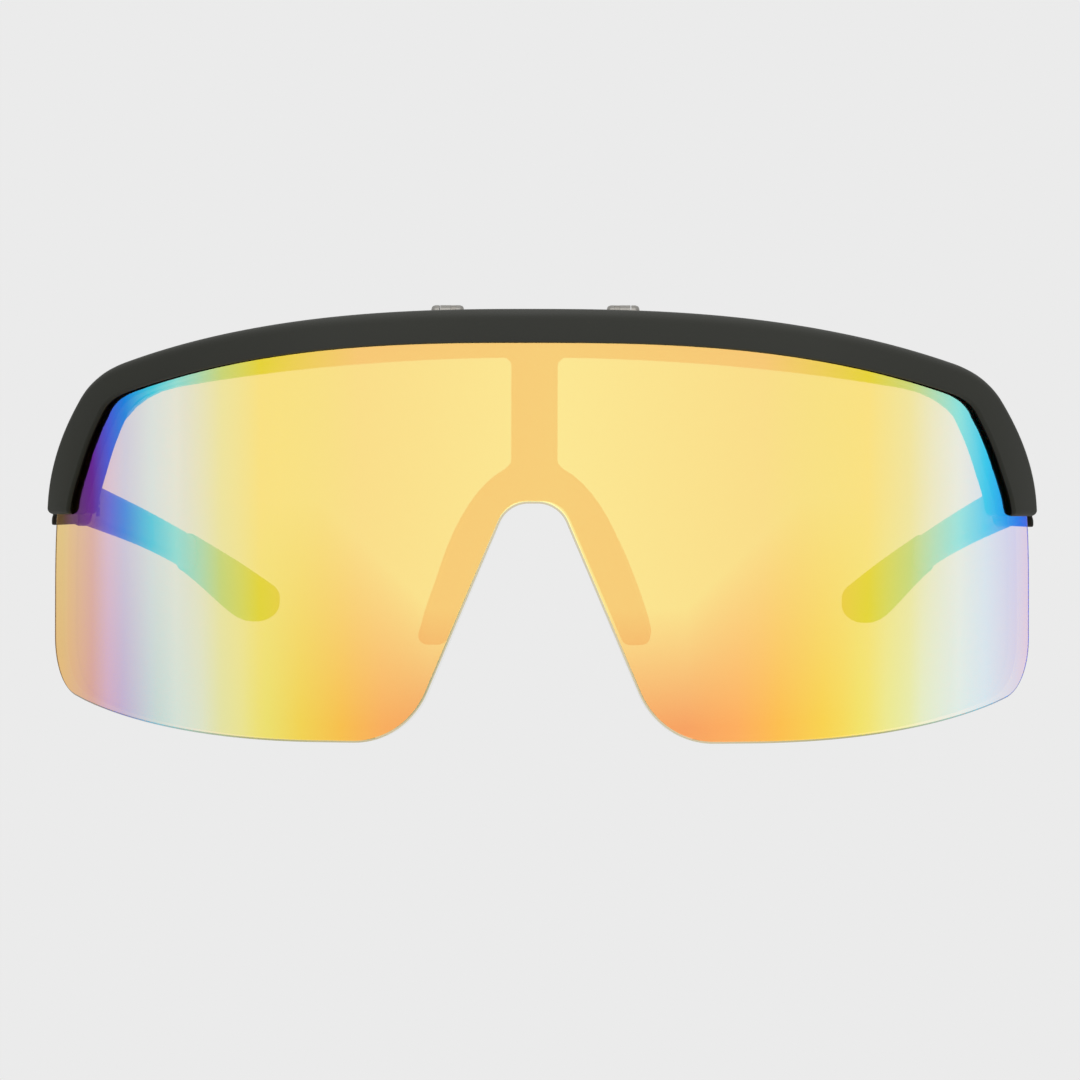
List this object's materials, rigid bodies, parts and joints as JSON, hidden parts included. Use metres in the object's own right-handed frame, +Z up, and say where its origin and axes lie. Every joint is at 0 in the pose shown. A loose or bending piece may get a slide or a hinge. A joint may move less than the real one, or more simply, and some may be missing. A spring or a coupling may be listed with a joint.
{
  "type": "flip-up shield sunglasses",
  "caption": "Shield sunglasses whose brow bar and one wrapped mirrored lens flip up on small hinges in front of an inner frame with nose pads and folding temples.",
  "frame": {"origin": "the middle of the box round the open, closed-down sunglasses, on the ground they stand on", "axes": "+X to the right seen from the front, +Y back from the lens to the temple tips, +Z up"},
  "size_m": [0.1472, 0.1594, 0.0625],
  "materials": {
    "frame_black": "soft matte black moulding",
    "pad_rubber": "soft black rubber",
    "tip_rubber": "matte black rubber sleeve",
    "lens_mirror": "gold mirror coating over a see-through plastic lens",
    "hinge_steel": "dark bronze-grey plated steel",
    "screw_steel": "plain steel",
    "washer_bronze": "plain bronze"
  },
  "bodies": {
    "worn_frame": {"inner_frame": "frame_black", "nose_pad_left": "pad_rubber", "nose_pad_right": "pad_rubber", "flip_bracket_left": "hinge_steel", "flip_bracket_right": "hinge_steel", "bracket_screw_left_1": "screw_steel", "bracket_screw_left_2": "screw_steel", "bracket_screw_right_1": "screw_steel", "bracket_screw_right_2": "screw_steel", "flip_pin_left": "screw_steel", "flip_pin_right": "screw_steel", "flip_washer_left": "washer_bronze", "flip_washer_right": "washer_bronze", "frame_leaf_left": "hinge_steel", "frame_leaf_right": "hinge_steel", "frame_leaf_screw_left": "screw_steel", "frame_leaf_screw_right": "screw_steel", "temple_screw_left": "screw_steel", "temple_screw_right": "screw_steel"},
    "flip_front": {"brow_bar": "frame_black", "shield_lens": "lens_mirror", "flip_leaf_left": "hinge_steel", "flip_leaf_right": "hinge_steel"},
    "left_temple": {"temple_arm_left": "frame_black", "temple_tip_left": "tip_rubber", "temple_leaf_left": "hinge_steel", "temple_leaf_screw_left": "screw_steel"},
    "right_temple": {"temple_arm_right": "frame_black", "temple_tip_right": "tip_rubber", "temple_leaf_right": "hinge_steel", "temple_leaf_screw_right": "screw_steel"}
  },
  "joints": [
    {"name": "flip_hinge", "type": "hinge", "parent": "worn_frame", "child": "flip_front", "pos_m": [0, -0.06573, 0.0609], "axis": [-1, 0, 0], "range_deg": [0, 90]},
    {"name": "temple_fold_left", "type": "hinge", "parent": "worn_frame", "child": "left_temple", "pos_m": [-0.0682, -0.02316, 0.03029], "axis": [0, -0.1065, -0.9943], "range_deg": [0, 94]},
    {"name": "temple_fold_right", "type": "hinge", "parent": "worn_frame", "child": "right_temple", "pos_m": [0.0682, -0.02316, 0.03029], "axis": [0, 0.1065, 0.9943], "range_deg": [0, 84]}
  ]
}
